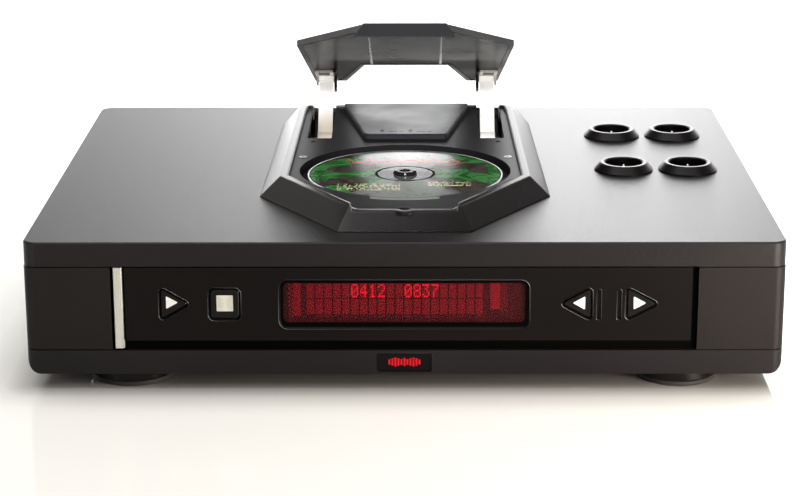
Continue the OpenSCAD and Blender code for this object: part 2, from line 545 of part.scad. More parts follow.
module transformer() color([0.75, 0.6, 0.2]) place() translate([-140, 30, 3]) {
    rotate_extrude($fn = 96) translate([33, 20]) rr(30, 38, 8);
    cylinder(r = 3, h = 44);
    translate([0, 0, 40]) cylinder(r = 28, h = 1.5);
}
module power_inlet() color([0.07, 0.07, 0.07]) place() translate([-165, 0, 38]) {
    difference() {
        union() {
            wallwise(yr - 22, yr + 0.3) square([26.8, 18.8], center = true);
            wallwise(yr + 0.05, yr + 2.2) rr(48, 23, 5);
        }
        wallwise(yr - 16, yr + 3) rr(23.4, 15.6, 2.5);
        for (s = [-1, 1]) wallwise(yr - 1, yr + 3) translate([s * 20, 0]) circle(1.7);
    }
    for (p = [[-7, -2], [7, -2], [0, 2]]) wallwise(yr - 17, yr - 3) translate(p) square([2, 4], center = true);
}
module switch_housing() color([0.07, 0.07, 0.07]) place() translate([-125, 0, 38]) difference() {
    union() {
        wallwise(yr - 16, yr + 0.3) square([18.8, 12.8], center = true);
        wallwise(yr + 0.05, yr + 1.5) rr(21, 15, 1.5);
    }
    wallwise(yr - 10, yr + 3) square([16, 10], center = true);
    translate([-8.6, yr - 2.5, 0]) rotate([0, 90, 0]) cylinder(r = 1.05, h = 17.2);
}
// the rocker turns about X on two stub pins
rock_a = 9;
module power_rocker() color([0.06, 0.06, 0.06]) place() translate([-125, yr - 2.5, 38]) {
    rotate([rock_a, 0, 0]) intersection() {
        rotate([0, 90, 0]) cylinder(r = 5.4, h = 14.8, center = true);
        translate([-7.4, -3, -4.4]) cube([14.8, 9, 8.8]);
    }
    rotate([0, 90, 0]) cylinder(r = 1.0, h = 17, center = true);
}
module phono(x) translate([x, 0, 38]) difference() {
    union() {
        wallwise(yr - 14, yr + 1.2) circle(4.7);
        wallwise(yr + 0.02, yr + 1.2) circle(7);
        wallwise(yr + 1.1, yr + 10) circle(4.15);
    }
    wallwise(yr + 1.5, yr + 12) circle(3.2);
    wallwise(yr - 6, yr + 12) circle(1.65);
}
module line_jacks() color([0.85, 0.7, 0.35]) place() { phono(20); phono(50); }
module digital_jacks() color([0.2, 0.2, 0.22]) place() {
    phono(90);
    translate([115, 0, 38]) difference() {
        wallwise(yr - 14, yr + 1.5) square([10, 10], center = true);
        wallwise(yr - 5, yr + 2) square([7, 7], center = true);
    }
    translate([140, 0, 38]) difference() {
        wallwise(yr - 14, yr + 0.8) square([12, 11], center = true);
        wallwise(yr - 9, yr + 2) square([8.6, 7.8], center = true);
    }
}
module balanced_jacks() color([0.12, 0.12, 0.12]) place() for (x = [-60, -25]) translate([x, 0, 39]) {
    difference() {
        union() {
            wallwise(yr - 20, yr + 0.3) circle(11.5);
            wallwise(yr + 0.05, yr + 2) rr(26, 31, 2);
        }
        wallwise(yr - 14, yr + 3) circle(9.6);
        for (s = [-1, 1]) wallwise(yr - 1, yr + 3) translate([s * 9.5, s * 12]) circle(1.6);
    }
    for (a = [0, 120, 240]) wallwise(yr - 15, yr - 3) rotate(a + 90) translate([4.1, 0]) circle(1.2);
}

// ---------------------------------------------------------------- feet and fasteners
module feet() color([0.08, 0.08, 0.08]) place() for (p = foot_at) translate([p[0], p[1], 0]) difference() {
    rotate_extrude($fn = 96) polygon([[2.3, 0], [25.5, 0], [25.5, -4.6], [24.2, -6], [2.3, -6]]);
    translate([0, 0, -7]) cylinder(r = 5, h = 3);
}
module foot_pads() color([0.2, 0.2, 0.2]) place() for (p = foot_at) translate([p[0], p[1], 0])
    rotate_extrude($fn = 96) polygon([[6, -6], [23.6, -6], [23.6, -8.2], [22.8, -foot_h], [6, -foot_h]]);
module case_screws() color([0.7, 0.7, 0.7]) place() {
    for (p = foot_at) translate([p[0], p[1], 0]) rotate([180, 0, 0]) {
        translate([0, 0, 4.02]) cylinder(r = 4.2, h = 1.6);
        translate([0, 0, -5]) cylinder(r = 2.0, h = 9.1);
    }
    for (p = standoff_at) translate([p[0], p[1], 0]) {
        translate([0, 0, 10.62]) cylinder(r = 2.8, h = 1.4);
        translate([0, 0, 5]) cylinder(r = 1.25, h = 6);
    }
    for (x = [-200, -100, 0, 180]) translate([x, 0, 56]) {
        wallwise(yr + 0.02, yr + 1.6) circle(2.8);
        wallwise(yr - 6, yr + 0.1) circle(1.5);
    }
}

base_tray();
side_panel_left();
side_panel_right();
rear_panel();
top_cover();
fascia_panel();
fascia_backer();
trim_bar();
display_window();
display_module();
front_board();
badge_window();
badge_light();
play_button();
stop_button();
previous_button();
next_button();
play_insert();
stop_insert();
previous_insert();
next_insert();
door_surround();
well_plate();
transport_cover();
well_screws();
lid_shell();
lid_liner();
lid_brackets();
lid_pins();
door_arm_left();
door_arm_right();
hinge_shaft();
hinge_blocks();
disc();
spindle_hub();
hub_balls();
spindle_shaft();
spindle_motor();
mech_chassis();
mech_grommets();
laser_sled();
objective_lens();
guide_rod();
lead_screw();
sled_motor();
vent_rings();
valves();
valve_sockets();
main_board();
capacitors();
transformer();
power_inlet();
switch_housing();
power_rocker();
line_jacks();
balanced_jacks();
digital_jacks();
feet();
foot_pads();
case_screws();
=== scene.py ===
import math

import bmesh
import bpy
from mathutils import Matrix, Vector


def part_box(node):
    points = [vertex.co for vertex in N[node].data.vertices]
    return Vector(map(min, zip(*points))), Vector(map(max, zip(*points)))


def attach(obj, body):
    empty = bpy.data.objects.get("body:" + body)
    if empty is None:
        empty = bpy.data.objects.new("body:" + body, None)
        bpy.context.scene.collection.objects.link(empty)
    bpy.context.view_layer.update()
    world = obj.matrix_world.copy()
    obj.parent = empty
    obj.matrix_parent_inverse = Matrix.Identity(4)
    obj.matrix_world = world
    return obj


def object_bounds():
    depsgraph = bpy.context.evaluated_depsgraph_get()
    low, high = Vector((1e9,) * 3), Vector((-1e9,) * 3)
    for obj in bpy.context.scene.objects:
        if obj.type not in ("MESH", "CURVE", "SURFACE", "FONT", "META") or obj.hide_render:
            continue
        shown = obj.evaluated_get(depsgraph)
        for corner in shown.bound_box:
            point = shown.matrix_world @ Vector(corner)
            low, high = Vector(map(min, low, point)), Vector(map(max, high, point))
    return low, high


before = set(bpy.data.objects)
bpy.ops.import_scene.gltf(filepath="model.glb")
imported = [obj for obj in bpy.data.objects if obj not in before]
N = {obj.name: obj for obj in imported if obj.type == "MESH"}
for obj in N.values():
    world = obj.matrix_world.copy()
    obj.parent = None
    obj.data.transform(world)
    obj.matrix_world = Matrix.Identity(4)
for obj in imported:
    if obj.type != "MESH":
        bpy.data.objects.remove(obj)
CAD_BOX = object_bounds()

# the case frame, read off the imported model: X and Y from the top cover's middle, Z from its top plane
_lo, _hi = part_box("top_cover")
CX, CY, CZ = (_lo.x + _hi.x) / 2, (_lo.y + _hi.y) / 2, _hi.z
YF = _lo.y                                   # front plane
FLOOR = CAD_BOX[0].z


def P(x, y, dz):
    """A point given in millimetres in the case frame, dz above the top plane."""
    return Vector((CX + x / 1000, CY + y / 1000, CZ + dz / 1000))


# ------------------------------------------------------------------ camera
cam = bpy.data.cameras.new("camera")
cam.lens = 100.99
cam.sensor_width = 36.0
cam.clip_start, cam.clip_end = 0.05, 60
cam_o = bpy.data.objects.new("camera", cam)
bpy.context.scene.collection.objects.link(cam_o)
pitch, yaw, roll = math.radians(16.327), math.radians(-0.42), math.radians(-0.157)
fw = Vector((math.sin(yaw) * math.cos(pitch), math.cos(yaw) * math.cos(pitch), -math.sin(pitch)))
rt = fw.cross(Vector((0, 0, 1))).normalized()
up = rt.cross(fw)
r2 = math.cos(roll) * rt + math.sin(roll) * up
u2 = -math.sin(roll) * rt + math.cos(roll) * up
m = Matrix.Identity(4)
for i in range(3):
    m[i][0], m[i][1], m[i][2] = r2[i], u2[i], -fw[i]
m.translation = P(6.54, -1387.93, 431.08 - 78.35)
cam_o.matrix_world = m
bpy.context.scene.camera = cam_o
bpy.context.scene.view_settings.view_transform = "Standard"


# ------------------------------------------------------------------ materials
def new_mat(name, color=(0.5, 0.5, 0.5), rough=0.5, metal=0.0, spec=0.5, coat=0.0, coat_rough=0.1,
            emit=None, emit_s=0.0, alpha=1.0, transmission=0.0, ior=1.5, sheen=0.0, aniso=0.0):
    mt = bpy.data.materials.new(name)
    mt.use_nodes = True
    nt = mt.node_tree
    b = nt.nodes["Principled BSDF"]
    b.inputs["Base Color"].default_value = (*color, 1)
    b.inputs["Roughness"].default_value = rough
    b.inputs["Metallic"].default_value = metal
    b.inputs["Specular IOR Level"].default_value = spec
    b.inputs["Coat Weight"].default_value = coat
    b.inputs["Coat Roughness"].default_value = coat_rough
    b.inputs["Alpha"].default_value = alpha
    b.inputs["Transmission Weight"].default_value = transmission
    b.inputs["IOR"].default_value = ior
    b.inputs["Sheen Weight"].default_value = sheen
    b.inputs["Anisotropic"].default_value = aniso
    if emit:
        b.inputs["Emission Color"].default_value = (*emit, 1)
        b.inputs["Emission Strength"].default_value = emit_s
    return mt, nt, b


def node(nt, kind, **kw):
    n = nt.nodes.new(kind)
    for k, v in kw.items():
        if k in n.inputs:
            n.inputs[k].default_value = v
        else:
            setattr(n, k, v)
    return n


def coords(nt, scale=(1, 1, 1)):
    tc = node(nt, "ShaderNodeTexCoord")
    mp = node(nt, "ShaderNodeMapping")
    mp.inputs["Scale"].default_value = scale
    nt.links.new(tc.outputs["Object"], mp.inputs["Vector"])
    return mp.outputs["Vector"]


def ramp(nt, fac, stops):
    r = node(nt, "ShaderNodeValToRGB")
    while len(r.color_ramp.elements) < len(stops):
        r.color_ramp.elements.new(0.5)
    for e, (p, c) in zip(r.color_ramp.elements, stops):
        e.position = p
        e.color = (*c, 1) if len(c) == 3 else c
    nt.links.new(fac, r.inputs["Fac"])
    return r.outputs["Color"]


def powder(name, color, rough=0.42, var=0.18, bump=0.25, scale=2600, spec=0.5, coarse=420):
    """Fine powder coat: pebbled bump at about 0.4 mm, faint cloudy variation in tone and gloss."""
    mt, nt, b = new_mat(name, color, rough, spec=spec)
    v = coords(nt)
    fine = node(nt, "ShaderNodeTexNoise", Scale=scale, Detail=3.0, Roughness=0.6)
    med = node(nt, "ShaderNodeTexVoronoi", Scale=coarse * 4)
    cloud = node(nt, "ShaderNodeTexNoise", Scale=9.0, Detail=4.0, Roughness=0.55)
    for n in (fine, med, cloud):
        nt.links.new(v, n.inputs["Vector"])
    dark = tuple(c * (1 - var) for c in color)
    light = tuple(min(1, c * (1 + var)) for c in color)
    nt.links.new(ramp(nt, cloud.outputs["Fac"], [(0.3, dark), (0.7, light)]), b.inputs["Base Color"])
    rr = node(nt, "ShaderNodeMapRange")
    rr.inputs["From Min"].default_value, rr.inputs["From Max"].default_value = 0.3, 0.7
    rr.inputs["To Min"].default_value, rr.inputs["To Max"].default_value = rough - 0.05, rough + 0.06
    nt.links.new(fine.outputs["Fac"], rr.inputs["Value"])
    nt.links.new(rr.outputs["Result"], b.inputs["Roughness"])
    mix = node(nt, "ShaderNodeMath", operation="MULTIPLY_ADD")
    nt.links.new(med.outputs["Distance"], mix.inputs[0])
    mix.inputs[1].default_value = 0.6
    nt.links.new(fine.outputs["Fac"], mix.inputs[2])
    bp = node(nt, "ShaderNodeBump", Strength=bump, Distance=0.00012)
    nt.links.new(mix.outputs["Value"], bp.inputs["Height"])
    nt.links.new(bp.outputs["Normal"], b.inputs["Normal"])
    return mt


def plastic(name, color, rough=0.35, var=0.12, bump=0.05, scale=900, spec=0.5, coat=0.0):
    mt, nt, b = new_mat(name, color, rough, spec=spec, coat=coat, coat_rough=0.06)
    v = coords(nt)
    fine = node(nt, "ShaderNodeTexNoise", Scale=scale, Detail=4.0, Roughness=0.6)
    cloud = node(nt, "ShaderNodeTexNoise", Scale=22.0, Detail=3.0)
    nt.links.new(v, fine.inputs["Vector"])
    nt.links.new(v, cloud.inputs["Vector"])
    dark = tuple(c * (1 - var) for c in color)
    light = tuple(min(1, c * (1 + var)) for c in color)
    nt.links.new(ramp(nt, cloud.outputs["Fac"], [(0.3, dark), (0.7, light)]), b.inputs["Base Color"])
    rr = node(nt, "ShaderNodeMapRange")
    rr.inputs["From Min"].default_value, rr.inputs["From Max"].default_value = 0.35, 0.65
    rr.inputs["To Min"].default_value, rr.inputs["To Max"].default_value = max(0.02, rough * 0.85), rough * 1.15
    nt.links.new(cloud.outputs["Fac"], rr.inputs["Value"])
    nt.links.new(rr.outputs["Result"], b.inputs["Roughness"])
    bp = node(nt, "ShaderNodeBump", Strength=bump, Distance=0.00008)
    nt.links.new(fine.outputs["Fac"], bp.inputs["Height"])
    nt.links.new(bp.outputs["Normal"], b.inputs["Normal"])
    return mt


def metal(name, color, rough=0.2, stretch=(1, 1, 1), bump=0.06, scale=1400, var=0.06, metal=1.0):
    """Metal with fine lines: stretch is the noise scale along each axis, small along the lines."""
    mt, nt, b = new_mat(name, color, rough, metal=metal)
    v = coords(nt, stretch)
    lines = node(nt, "ShaderNodeTexNoise", Scale=scale, Detail=4.0, Roughness=0.65)
    nt.links.new(v, lines.inputs["Vector"])
    dark = tuple(c * (1 - var) for c in color)
    nt.links.new(ramp(nt, lines.outputs["Fac"], [(0.3, dark), (0.7, color)]), b.inputs["Base Color"])
    rr = node(nt, "ShaderNodeMapRange")
    rr.inputs["From Min"].default_value, rr.inputs["From Max"].default_value = 0.3, 0.7
    rr.inputs["To Min"].default_value, rr.inputs["To Max"].default_value = rough * 0.75, rough * 1.3
    nt.links.new(lines.outputs["Fac"], rr.inputs["Value"])
    nt.links.new(rr.outputs["Result"], b.inputs["Roughness"])
    bp = node(nt, "ShaderNodeBump", Strength=bump, Distance=0.00005)
    nt.links.new(lines.outputs["Fac"], bp.inputs["Height"])
    nt.links.new(bp.outputs["Normal"], b.inputs["Normal"])
    return mt


CASE = powder("case_black", (0.0088, 0.0074, 0.0076), rough=0.38, bump=0.75, spec=0.20, scale=1900)
BASE = powder("base_black", (0.0120, 0.0098, 0.0112), rough=0.44, bump=0.22, spec=0.14)
CHEEK = powder("cheek_black", (0.0105, 0.0084, 0.0078), rough=0.46, bump=0.22, spec=0.15)
FASCIA = powder("fascia_black", (0.0045, 0.0034, 0.0032), rough=0.34, bump=0.10, scale=3200, spec=0.09)
VENT = powder("vent_black", (0.0042, 0.0032, 0.0034), rough=0.33, bump=0.12, spec=0.14)
SURROUND = powder("surround_black", (0.0042, 0.0030, 0.0032), rough=0.30, bump=0.16, spec=0.155)
WELL = powder("well_charcoal", (0.0105, 0.0100, 0.0115), rough=0.44, bump=0.12, scale=3000, spec=0.05)
INNER = plastic("inner_black", (0.0012, 0.0012, 0.0012), rough=0.7, spec=0.02)
LIDM = plastic("lid_black", (0.0060, 0.0055, 0.0070), rough=0.36, bump=0.04, spec=0.10)
LINER = plastic("liner_gloss", (0.0060, 0.0056, 0.0064), rough=0.24, bump=0.01, spec=0.008)
TCOVER = plastic("cover_gloss", (0.0170, 0.0170, 0.0200), rough=0.46, bump=0.02, spec=0.095)
TRIM = metal("trim_brushed", (0.72, 0.70, 0.62), rough=0.30, stretch=(1, 1, 0.02), bump=0.010)
ARM = metal("arm_satin", (0.99, 0.98, 0.96), rough=0.42, stretch=(1, 0.05, 0.05), bump=0.02, metal=0.25)
BRIGHT = metal("bright_steel", (0.86, 0.86, 0.86), rough=0.10)
BRACKET = metal("bracket_plate", (0.90, 0.89, 0.86), rough=0.30, metal=0.5)
STEEL = metal("plated_steel", (0.55, 0.55, 0.57), rough=0.28)
CHASSIS = plastic("chassis_dark", (0.05, 0.05, 0.055), rough=0.4)
CAPM = plastic("button_black", (0.0050, 0.0042, 0.0042), rough=0.26, bump=0.03, spec=0.14)
LIP = plastic("lip_gloss", (0.0020, 0.0018, 0.0018), rough=0.16, bump=0.0, spec=0.20)
SCREW = metal("screw_dark", (0.10, 0.10, 0.105), rough=0.34)
MIRROR = metal("trim_edge", (0.98, 0.975, 0.96), rough=0.16, bump=0.0)
WHITE = plastic("insert_white", (0.86, 0.86, 0.85), rough=0.3, var=0.03)
SATIN = metal("insert_satin", (0.94, 0.93, 0.90), rough=0.35, metal=0.5)
RUBBER = plastic("rubber", (0.018, 0.018, 0.018), rough=0.7, bump=0.2)
HUB = plastic("hub_black", (0.008, 0.008, 0.008), rough=0.22)
BOARD = plastic("board_green", (0.02, 0.13, 0.05), rough=0.35)
CERAMIC = plastic("ceramic_cream", (0.70, 0.65, 0.55), rough=0.3)
BLUE = plastic("sleeve_blue", (0.02, 0.035, 0.12), rough=0.25)
WIND = plastic("winding_amber", (0.45, 0.27, 0.06), rough=0.35)
GOLD = metal("jack_gold", (0.83, 0.62, 0.26), rough=0.16)
JACK = plastic("jack_black", (0.02, 0.02, 0.02), rough=0.45)
LENS = plastic("lens_coated", (0.10, 0.18, 0.40), rough=0.05, coat=1.0)
BADGE = plastic("badge_gloss", (0.0030, 0.0022, 0.0022), rough=0.16, bump=0.0, spec=0.10)


def spun(name, color, axis, rough=0.30, met=0.75):
    """Turned metal: rings round the piece's own middle, so the highlight forms wedges."""
    mt, nt, b = new_mat(name, color, rough, metal=met, aniso=0.85)
    tg = node(nt, "ShaderNodeTangent", direction_type="RADIAL", axis=axis)
    nt.links.new(tg.outputs["Tangent"], b.inputs["Tangent"])
    n1 = node(nt, "ShaderNodeTexNoise", Scale=900.0, Detail=2.0)
    nt.links.new(coords(nt), n1.inputs["Vector"])
    nt.links.new(ramp(nt, n1.outputs["Fac"], [(0.3, tuple(c * 0.9 for c in color)), (0.7, color)]),
                 b.inputs["Base Color"])
    return mt


SPUN = spun("insert_spun", (0.78, 0.77, 0.66), "Y")


def glass(name, color):
    mt, nt, b = new_mat(name, color, 0.03, transmission=1.0, ior=1.47)
    n1 = node(nt, "ShaderNodeTexNoise", Scale=60.0, Detail=2.0)
    nt.links.new(coords(nt), n1.inputs["Vector"])
    nt.links.new(ramp(nt, n1.outputs["Fac"], [(0.3, tuple(c * 0.94 for c in color)), (0.7, color)]),
                 b.inputs["Base Color"])
    return mt


GLASS = glass("valve_glass", (0.96, 0.98, 0.98))


def window_mat():
    """Tinted front of the display: red-brown film, seen through."""
    mt, nt, b = new_mat("display_tint", (0.05, 0.004, 0.005), 0.10, spec=0.07, alpha=0.34)
    v = coords(nt)
    n1 = node(nt, "ShaderNodeTexNoise", Scale=30.0, Detail=5.0, Roughness=0.7)
    n2 = node(nt, "ShaderNodeTexVoronoi", Scale=260.0)
    nt.links.new(v, n1.inputs["Vector"])
    nt.links.new(v, n2.inputs["Vector"])
    nt.links.new(ramp(nt, n1.outputs["Fac"], [(0.3, (0.040, 0.006, 0.007)), (0.7, (0.060, 0.009, 0.011))]),
                 b.inputs["Base Color"])
    rr = node(nt, "ShaderNodeMapRange")
    rr.inputs["From Min"].default_value, rr.inputs["From Max"].default_value = 0.0, 0.10
    rr.inputs["To Min"].default_value, rr.inputs["To Max"].default_value = 0.5, 0.10
    nt.links.new(n2.outputs["Distance"], rr.inputs["Value"])
    nt.links.new(rr.outputs["Result"], b.inputs["Roughness"])
    return mt


WINDOW = window_mat()


def glow(name, color, strength, var=0.25, scale=500.0):
    """Lit pigment: dark body with uneven emission."""
    mt, nt, b = new_mat(name, (0.02, 0.002, 0.002), 0.5, spec=0.1, emit=color, emit_s=strength)
    n1 = node(nt, "ShaderNodeTexNoise", Scale=scale, Detail=2.0)
    nt.links.new(coords(nt), n1.inputs["Vector"])
    nt.links.new(ramp(nt, n1.outputs["Fac"], [(0.3, tuple(c * (1 - var) for c in color)), (0.7, color)]),
                 b.inputs["Emission Color"])
    return mt


GLOW_DIM = glow("glow_cell", (0.33, 0.006, 0.012), 1.0)
GLOW_BACK = glow("glow_ground", (0.035, 0.004, 0.005), 1.0, scale=120.0)
GLOW_SIDE = glow("glow_side", (0.48, 0.010, 0.020), 1.0)
GLOW_DOT = glow("glow_dot", (2.1, 0.012, 0.055), 1.0, var=0.1)
GLOW_BADGE = glow("glow_badge", (0.95, 0.006, 0.020), 1.0, var=0.35)


def mathn(nt, op, a, b=None, c=None, clamp=False):
    n = node(nt, "ShaderNodeMath", operation=op)
    n.use_clamp = clamp
    for i, v in enumerate((a, b, c)):
        if v is None:
            continue
        if isinstance(v, (int, float)):
            n.inputs[i].default_value = v
        else:
            nt.links.new(v, n.inputs[i])
    return n.outputs[0]


def mixc(nt, fac, a, b):
    n = node(nt, "ShaderNodeMix", data_type="RGBA")
    n.clamp_factor = True
    if isinstance(fac, (int, float)):
        n.inputs[0].default_value = fac
    else:
        nt.links.new(fac, n.inputs[0])
    for i, v in ((6, a), (7, b)):
        if isinstance(v, tuple):
            n.inputs[i].default_value = (*v, 1)
        else:
            nt.links.new(v, n.inputs[i])
    return n.outputs[2]


def band(nt, v, lo, hi, soft):
    """1 between lo and hi, with a soft step."""
    up = node(nt, "ShaderNodeMapRange", interpolation_type="SMOOTHSTEP")
    dn = node(nt, "ShaderNodeMapRange", interpolation_type="SMOOTHSTEP")
    for n, f, t, c in ((up, lo - soft, lo + soft, (0, 1)), (dn, hi - soft, hi + soft, (1, 0))):
        n.inputs["From Min"].default_value, n.inputs["From Max"].default_value = f, t
        n.inputs["To Min"].default_value, n.inputs["To Max"].default_value = c
        nt.links.new(v, n.inputs["Value"])
    return mathn(nt, "MULTIPLY", up.outputs["Result"], dn.outputs["Result"])


def mapr(nt, v, a, b, c, d):
    n = node(nt, "ShaderNodeMapRange", interpolation_type="SMOOTHSTEP")
    for k, w in (("From Min", a), ("From Max", b), ("To Min", c), ("To Max", d)):
        n.inputs[k].default_value = w
    nt.links.new(v, n.inputs["Value"])
    return n.outputs["Result"]


def disc_mat():
    """Printed disc, in millimetres round its own middle: abstract green print over a silvered ground with painted
    highlight wedges, clear inner ring with a dark line round it, bare edge with a painted glint, strongest at the
    sides."""
    lo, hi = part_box("disc")
    cx, cy = (lo.x + hi.x) / 2, (lo.y + hi.y) / 2
    mt, nt, b = new_mat("disc_print", (0.1, 0.2, 0.1), 0.22, spec=0.12, coat=0.10, coat_rough=0.12, aniso=0.8)
    tc = node(nt, "ShaderNodeTexCoord")
    mp = node(nt, "ShaderNodeMapping", vector_type="POINT")
    mp.inputs["Location"].default_value = (-cx * 1000, -cy * 1000, 0)
    mp.inputs["Scale"].default_value = (1000, 1000, 0)
    nt.links.new(tc.outputs["Object"], mp.inputs["Vector"])
    v = mp.outputs["Vector"]
    sep = node(nt, "ShaderNodeSeparateXYZ")
    nt.links.new(v, sep.inputs["Vector"])
    x, y = sep.outputs["X"], sep.outputs["Y"]
    ln = node(nt, "ShaderNodeVectorMath", operation="LENGTH")
    nt.links.new(v, ln.inputs[0])
    r = ln.outputs["Value"]
    # print: green swirls
    n1 = node(nt, "ShaderNodeTexNoise", Scale=0.040, Detail=2.5, Roughness=0.5, Distortion=1.6)
    n2 = node(nt, "ShaderNodeTexNoise", Scale=0.13, Detail=4.0, Roughness=0.6, Distortion=0.8)
    vo = node(nt, "ShaderNodeTexVoronoi", Scale=0.062)
    vo.feature = "F1"
    for n in (n1, n2, vo):
        nt.links.new(v, n.inputs["Vector"])
    green = ramp(nt, n1.outputs["Fac"], [(0.30, (0.012, 0.030, 0.010)), (0.46, (0.020, 0.105, 0.022)),
                                         (0.55, (0.042, 0.170, 0.048)), (0.70, (0.012, 0.060, 0.016))])
    dark = ramp(nt, n2.outputs["Fac"], [(0.35, (0.016, 0.014, 0.012)), (0.65, (0.060, 0.050, 0.042))])
    blocks = node(nt, "ShaderNodeSeparateColor")
    nt.links.new(vo.outputs["Color"], blocks.inputs["Color"])
    isdark = mathn(nt, "GREATER_THAN", blocks.outputs[0], 0.60)
    col = mixc(nt, isdark, green, dark)
    # silvered wedges, front and rear of the hub: painted highlight, lighter grey and more metallic where the turned
    # silver layer catches the light
    wedge = band(nt, mathn(nt, "ABSOLUTE", mathn(nt, "DIVIDE", x, mathn(nt, "ADD", mathn(nt, "ABSOLUTE", y), 14.0))),
                 -1.0, 0.52, 0.10)
    broken = band(nt, n2.outputs["Fac"], 0.43, 2.0, 0.05)
    silver_highlight = mathn(nt, "MULTIPLY", wedge, mathn(nt, "MULTIPLY_ADD", broken, 0.45, 0.45))
    col = mixc(nt, silver_highlight, col, (0.20, 0.20, 0.195))
    # a loose red stroke where the large lettering would be
    wv = mathn(nt, "ADD", mathn(nt, "SINE", mathn(nt, "MULTIPLY", x, 0.47)),
               mathn(nt, "MULTIPLY", mathn(nt, "SINE", mathn(nt, "MULTIPLY_ADD", x, 1.07, 1.3)), 0.55))
    off = mathn(nt, "SUBTRACT", y, mathn(nt, "MULTIPLY_ADD", wv, 3.1, 31.0))
    stroke = mathn(nt, "MULTIPLY", band(nt, off, -1.3, 1.3, 0.30), band(nt, x, -37, 34, 1.0))
    off2 = mathn(nt, "SUBTRACT", y, mathn(nt, "MULTIPLY_ADD", wv, -2.0, 26.0))
    stroke2 = mathn(nt, "MULTIPLY", band(nt, off2, -0.6, 0.6, 0.25), band(nt, x, -30, 38, 1.0))
    col = mixc(nt, mathn(nt, "MAXIMUM", stroke, stroke2), col, (0.58, 0.045, 0.040))
    # rows of short cream marks where the small lettering would be
    rowf = mathn(nt, "DIVIDE", y, 3.4)
    comb = node(nt, "ShaderNodeCombineXYZ")
    nt.links.new(mathn(nt, "MULTIPLY", x, 0.85), comb.inputs["X"])
    nt.links.new(mathn(nt, "MULTIPLY", mathn(nt, "FLOOR", rowf), 5.7), comb.inputs["Y"])
    dash = node(nt, "ShaderNodeTexNoise", Scale=1.0, Detail=1.0, Roughness=0.5)
    nt.links.new(comb.outputs["Vector"], dash.inputs["Vector"])
    rows = mathn(nt, "MULTIPLY", band(nt, mathn(nt, "FRACT", rowf), 0.26, 0.72, 0.06),
                 band(nt, dash.outputs["Fac"], 0.48, 2.0, 0.03))
    left = mathn(nt, "MULTIPLY", band(nt, x, -41, -3, 0.4), band(nt, y, -41, -25, 0.3))
    right = mathn(nt, "MULTIPLY", band(nt, x, 14, 40, 0.4), band(nt, y, -30, -19, 0.3))
    some = band(nt, n2.outputs["Fac"], 0.40, 2.0, 0.03)
    marks = mathn(nt, "MULTIPLY", mathn(nt, "MULTIPLY", rows, some), mathn(nt, "MAXIMUM", left, right))
    col = mixc(nt, marks, col, (0.62, 0.58, 0.33))
    # rings
    line = mathn(nt, "MAXIMUM", band(nt, r, 16.9, 18.6, 0.15), band(nt, r, 58.5, 59.2, 0.1))
    inner = band(nt, r, -1, 17.8, 0.15)
    edge = band(nt, r, 59.25, 99, 0.1)
    col = mixc(nt, inner, col, (0.13, 0.13, 0.13))
    col = mixc(nt, line, col, (0.006, 0.006, 0.006))
    # painted glint: the bare rim's light grey is mixed in more strongly at the sides
    side = mapr(nt, mathn(nt, "ABSOLUTE", x), 20.0, 46.0, 0.30, 1.0)     # the rim glints at the sides
    col = mixc(nt, mathn(nt, "MULTIPLY", edge, side), col, (0.80, 0.82, 0.80))
    nt.links.new(col, b.inputs["Base Color"])
    # painted highlight: the metallic sheen of the silver wedges fades towards the rear
    met = mathn(nt, "MAXIMUM", mathn(nt, "MULTIPLY", inner, 0.45), mathn(nt, "MULTIPLY", mathn(nt, "MULTIPLY_ADD", silver_highlight, 0.26, 0.04), mapr(nt, y, -6.0, 20.0, 1.0, 0.12)))
    nt.links.new(mathn(nt, "MULTIPLY", met, mathn(nt, "SUBTRACT", 1.0, line)), b.inputs["Metallic"])
    nt.links.new(mathn(nt, "MULTIPLY_ADD", line, -0.07, 0.07), b.inputs["Specular IOR Level"])
    nt.links.new(mathn(nt, "MULTIPLY_ADD", line, -0.05, 0.05), b.inputs["Coat Weight"])
    ro = mathn(nt, "MULTIPLY_ADD", n2.outputs["Fac"], 0.16, 0.16)
    nt.links.new(ro, b.inputs["Roughness"])
    tg = node(nt, "ShaderNodeTangent", direction_type="RADIAL", axis="Z")
    nt.links.new(tg.outputs["Tangent"], b.inputs["Tangent"])
    return mt


DISC = disc_mat()

def retone(mt, fac, color):
    """Blend a second colour over a material's own colour; fac(nt, x, y, z) in metres from the case's middle."""
    nt = mt.node_tree
    b = next(n for n in nt.nodes if n.type == "BSDF_PRINCIPLED")
    tc = node(nt, "ShaderNodeTexCoord")
    sp = node(nt, "ShaderNodeSeparateXYZ")
    nt.links.new(tc.outputs["Object"], sp.inputs["Vector"])
    x = mathn(nt, "SUBTRACT", sp.outputs["X"], CX)
    f = fac(nt, x, sp.outputs["Y"], mathn(nt, "SUBTRACT", sp.outputs["Z"], CZ))
    if color is None:
        return nt, b, f
    src = b.inputs["Base Color"].links[0].from_socket
    nt.links.new(mixc(nt, f, src, color), b.inputs["Base Color"])
    return nt, b, f


# glossy lips: painted highlight, white base colour and metallic where they turn down towards the table on the left
_nt = LIP.node_tree
_b = next(n for n in _nt.nodes if n.type == "BSDF_PRINCIPLED")
_geo = node(_nt, "ShaderNodeNewGeometry")
_dot = node(_nt, "ShaderNodeVectorMath", operation="DOT_PRODUCT")
_nt.links.new(_geo.outputs["Normal"], _dot.inputs[0])
_dot.inputs[1].default_value = (-0.50, -0.72, -0.48)
# painted highlight mask: normals facing down and to the left
_f = band(_nt, _dot.outputs["Value"], 0.90, 2.0, 0.06)
_src = _b.inputs["Base Color"].links[0].from_socket
_nt.links.new(mixc(_nt, _f, _src, (0.95, 0.93, 0.90)), _b.inputs["Base Color"])
_nt.links.new(_f, _b.inputs["Metallic"])

